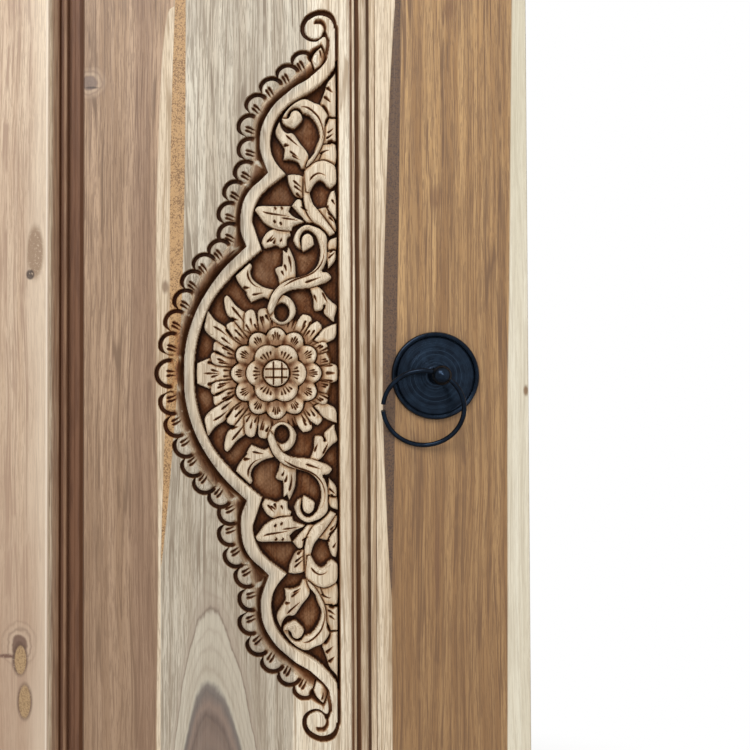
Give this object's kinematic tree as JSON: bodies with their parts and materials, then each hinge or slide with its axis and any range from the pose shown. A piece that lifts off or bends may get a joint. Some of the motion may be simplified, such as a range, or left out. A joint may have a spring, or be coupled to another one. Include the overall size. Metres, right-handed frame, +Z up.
{
  "type": "carved temple door",
  "caption": "Pair of carved teak door leaves on wooden pivots in a pegged frame, with ring pulls and a sliding bar; one leaf shut, the other open.",
  "frame": {"origin": "middle of the sill's underside, half way through the frame's depth", "axes": "+Z up, outside face towards -Y, +X to the right seen from outside"},
  "size_m": [1.129, 0.5618, 2.089],
  "materials": {
    "frame_wood": "oiled, worn",
    "stile_wood": "sanded, waxed",
    "panel_wood": "sanded, dark in the hollows",
    "moulding_wood": "sanded, dark in the hollows",
    "peg_wood": "sanded",
    "bar_wood": "oiled, worn",
    "black_iron": "blackened, glossy"
  },
  "bodies": {
    "root": {"left_jamb": "frame_wood", "right_jamb": "frame_wood", "head": "frame_wood", "sill": "frame_wood", "frame_pegs": "peg_wood"},
    "left_leaf": {"left_hinge_stile": "stile_wood", "left_lock_stile": "stile_wood", "left_top_rail": "stile_wood", "left_bottom_rail": "stile_wood", "left_carved_panel": "panel_wood", "left_hinge_moulding": "moulding_wood", "left_lock_moulding": "moulding_wood", "left_top_moulding": "moulding_wood", "left_bottom_moulding": "moulding_wood", "left_leaf_pegs": "peg_wood", "left_ring_plate": "black_iron", "left_ring_post": "black_iron", "left_ring_washer": "black_iron", "left_ring_nut": "black_iron", "outer_bar_guide": "bar_wood", "inner_bar_guide": "bar_wood"},
    "right_leaf": {"right_hinge_stile": "stile_wood", "right_lock_stile": "stile_wood", "right_top_rail": "stile_wood", "right_bottom_rail": "stile_wood", "right_carved_panel": "panel_wood", "right_hinge_moulding": "moulding_wood", "right_lock_moulding": "moulding_wood", "right_top_moulding": "moulding_wood", "right_bottom_moulding": "moulding_wood", "right_leaf_pegs": "peg_wood", "right_ring_plate": "black_iron", "right_ring_post": "black_iron", "right_ring_washer": "black_iron", "right_ring_nut": "black_iron", "bar_keeper": "bar_wood"},
    "left_pull": {"left_ring": "black_iron"},
    "right_pull": {"right_ring": "black_iron"},
    "bar": {"latch_bar": "bar_wood"}
  },
  "joints": [
    {"name": "left_leaf_swing", "type": "hinge", "parent": "root", "child": "left_leaf", "pos_m": [-0.483, 0.031, 1.038], "axis": [0, 0, 1], "range_deg": [0, 95]},
    {"name": "right_leaf_swing", "type": "hinge", "parent": "root", "child": "right_leaf", "pos_m": [0.483, 0.031, 1.038], "axis": [0, 0, 1], "range_deg": [0, 95]},
    {"name": "left_ring_swing", "type": "hinge", "parent": "left_leaf", "child": "left_pull", "pos_m": [-0.077, -0.0135, 1.058], "axis": [-0.9063, 0, 0.4226], "range_deg": [0, 135]},
    {"name": "right_ring_swing", "type": "hinge", "parent": "right_leaf", "child": "right_pull", "pos_m": [0.47406, 0.43933, 1.058], "axis": [0.079, 0.9029, -0.4226], "range_deg": [0, 135]},
    {"name": "bar_slide", "type": "slide", "parent": "left_leaf", "child": "bar", "axis": [1, 0, 0], "range_m": [0, 0.07]}
  ]
}
